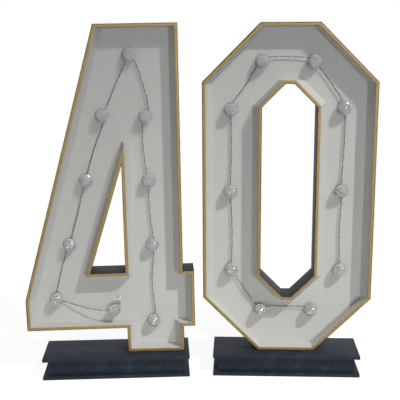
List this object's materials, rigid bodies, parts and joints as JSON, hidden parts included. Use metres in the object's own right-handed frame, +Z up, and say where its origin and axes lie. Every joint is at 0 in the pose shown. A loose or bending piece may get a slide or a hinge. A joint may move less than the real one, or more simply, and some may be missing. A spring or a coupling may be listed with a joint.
{
  "type": "light-up number sign",
  "caption": "Free-standing light-up number sign: two marquee digits with deep trays, gold-edged boards and lensed lights, each on its own plinth with a battery case behind.",
  "frame": {"origin": "The middle of the pair's footprint, on the surface it stands on.", "axes": "+X runs along the sign to the reader's right, +Y runs from its front to its back, and +Z is up."},
  "size_m": [1.2752, 0.2138, 1.2829],
  "materials": {
    "navy_board": "satin navy paint over board, with a gold painted front edge on the digits",
    "white_panel": "matt white paint over thin board",
    "clear_lens": "clear faceted dome with a moulded ring pattern",
    "light_wire": "clear-sleeved twisted wire with moulded clear sockets",
    "case_plastic": "fine-textured white moulding",
    "pack_sleeve": "shrunk sleeve",
    "plug_wood": "bare pale wood",
    "switch_plastic": "black moulding"
  },
  "bodies": {
    "sign": {"four_arm_bottom_board": "navy_board", "four_arm_end_board": "navy_board", "four_arm_top_board": "navy_board", "four_battery_case": "case_plastic", "four_battery_pack": "pack_sleeve", "four_beam_bottom_board": "navy_board", "four_beam_end_board": "navy_board", "four_cable_plug": "plug_wood", "four_eye_frame": "navy_board", "four_foot_bottom_board": "navy_board", "four_foot_left_board": "navy_board", "four_foot_right_board": "navy_board", "four_lens_01": "clear_lens", "four_lens_02": "clear_lens", "four_lens_03": "clear_lens", "four_lens_04": "clear_lens", "four_lens_05": "clear_lens", "four_lens_06": "clear_lens", "four_lens_07": "clear_lens", "four_lens_08": "clear_lens", "four_lens_09": "clear_lens", "four_lens_10": "clear_lens", "four_light_string": "light_wire", "four_panel": "white_panel", "four_plinth_base": "navy_board", "four_plinth_block": "navy_board", "four_plinth_top": "navy_board", "four_right_board": "navy_board", "four_slope_board": "navy_board", "four_top_board": "navy_board", "zero_battery_case": "case_plastic", "zero_battery_pack": "pack_sleeve", "zero_bottom_board": "navy_board", "zero_eye_frame": "navy_board", "zero_left_board": "navy_board", "zero_lens_01": "clear_lens", "zero_lens_02": "clear_lens", "zero_lens_03": "clear_lens", "zero_lens_04": "clear_lens", "zero_lens_05": "clear_lens", "zero_lens_06": "clear_lens", "zero_lens_07": "clear_lens", "zero_lens_08": "clear_lens", "zero_lens_09": "clear_lens", "zero_lens_10": "clear_lens", "zero_light_string": "light_wire", "zero_lower_left_board": "navy_board", "zero_lower_right_board": "navy_board", "zero_panel": "white_panel", "zero_plinth_base": "navy_board", "zero_plinth_block": "navy_board", "zero_plinth_top": "navy_board", "zero_right_board": "navy_board", "zero_top_board": "navy_board", "zero_upper_left_board": "navy_board", "zero_upper_right_board": "navy_board"},
    "four_cover": {"four_battery_cover": "case_plastic"},
    "zero_cover": {"zero_battery_cover": "case_plastic"},
    "four_switch": {"four_switch_knob": "switch_plastic"},
    "zero_switch": {"zero_switch_knob": "switch_plastic"}
  },
  "joints": [
    {"name": "four_cover_slide", "type": "slide", "parent": "sign", "child": "four_cover", "axis": [0.9988, 0.048, 0.0105], "range_m": [0, 0.06]},
    {"name": "four_switch_slide", "type": "slide", "parent": "sign", "child": "four_switch", "axis": [-0.0105, -0.0005, 0.9999], "range_m": [0, 0.004]},
    {"name": "zero_cover_slide", "type": "slide", "parent": "sign", "child": "zero_cover", "axis": [0.9988, -0.048, 0], "range_m": [0, 0.06]},
    {"name": "zero_switch_slide", "type": "slide", "parent": "sign", "child": "zero_switch", "axis": [0, 0, 1], "range_m": [0, 0.004]}
  ]
}
